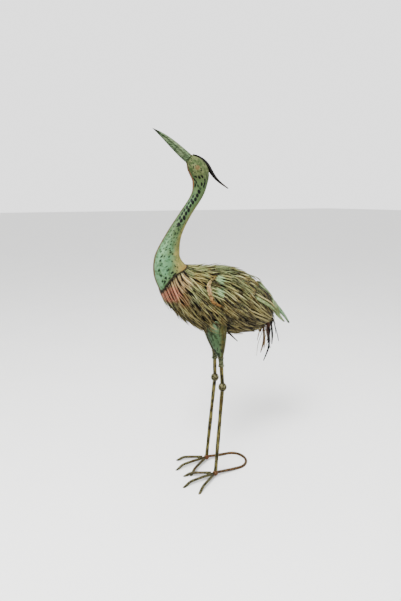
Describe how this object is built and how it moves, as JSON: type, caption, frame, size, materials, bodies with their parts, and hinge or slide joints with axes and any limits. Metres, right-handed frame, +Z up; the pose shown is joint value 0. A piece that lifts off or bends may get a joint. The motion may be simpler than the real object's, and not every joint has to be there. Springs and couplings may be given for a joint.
{
  "type": "garden heron figurine",
  "caption": "Standing sheet-metal heron looking upwards, with lapped cut-strip feathers, long tail blades, twisted rod legs and a bent rod foot loop.",
  "frame": {"origin": "middle of the floor box, on the floor under the bird", "axes": "+Z up, +X the way the bird faces, +Y its left side"},
  "size_m": [0.4972, 0.2018, 1.0545],
  "materials": {
    "verdigris": "matt verdigris patina, streaked with ochre and dark marks",
    "feathers": "olive, cream and verdigris wash over dark sheet, with red and rust at the breast",
    "wing-edge": "rosy ochre paint, worn",
    "beak": "grey green paint with a black tip",
    "dark-strip": "black brown, dull",
    "rod": "brown olive patina over twisted steel, rusty at the welds"
  },
  "bodies": {
    "root": {"beak": "beak", "belly-strip": "dark-strip", "body": "feathers", "crest-plume": "dark-strip", "feather-row-01": "feathers", "feather-row-02": "feathers", "feather-row-03": "feathers", "feather-row-04": "feathers", "feather-row-05": "feathers", "feather-row-06": "feathers", "feather-row-07": "feathers", "feather-row-08": "feathers", "feather-row-09": "feathers", "feather-row-10": "feathers", "foot-hub-left": "rod", "foot-hub-right": "rod", "foot-loop": "rod", "head-and-neck": "verdigris", "knee-ball-left": "rod", "knee-ball-right": "rod", "leg-collar-left": "rod", "leg-collar-right": "rod", "lower-rod-left": "rod", "lower-rod-right": "rod", "tail-blade-left": "verdigris", "tail-blade-middle": "verdigris", "tail-blade-right": "verdigris", "tail-strip-1": "dark-strip", "tail-strip-2": "dark-strip", "tail-strip-3": "dark-strip", "tail-strip-4": "dark-strip", "tail-strip-5": "dark-strip", "tail-strip-6": "dark-strip", "tail-strip-7": "dark-strip", "tail-strip-8": "dark-strip", "thigh-left": "verdigris", "thigh-right": "verdigris", "toe-left-inner": "rod", "toe-left-middle": "rod", "toe-left-outer": "rod", "toe-right-inner": "rod", "toe-right-middle": "rod", "toe-right-outer": "rod", "upper-rod-left": "rod", "upper-rod-right": "rod", "wing-left-edge": "wing-edge", "wing-left-row-1": "feathers", "wing-left-row-2": "feathers", "wing-left-row-3": "feathers", "wing-left-row-4": "feathers", "wing-right-edge": "wing-edge", "wing-right-row-1": "feathers", "wing-right-row-2": "feathers", "wing-right-row-3": "feathers", "wing-right-row-4": "feathers"}
  },
  "joints": []
}
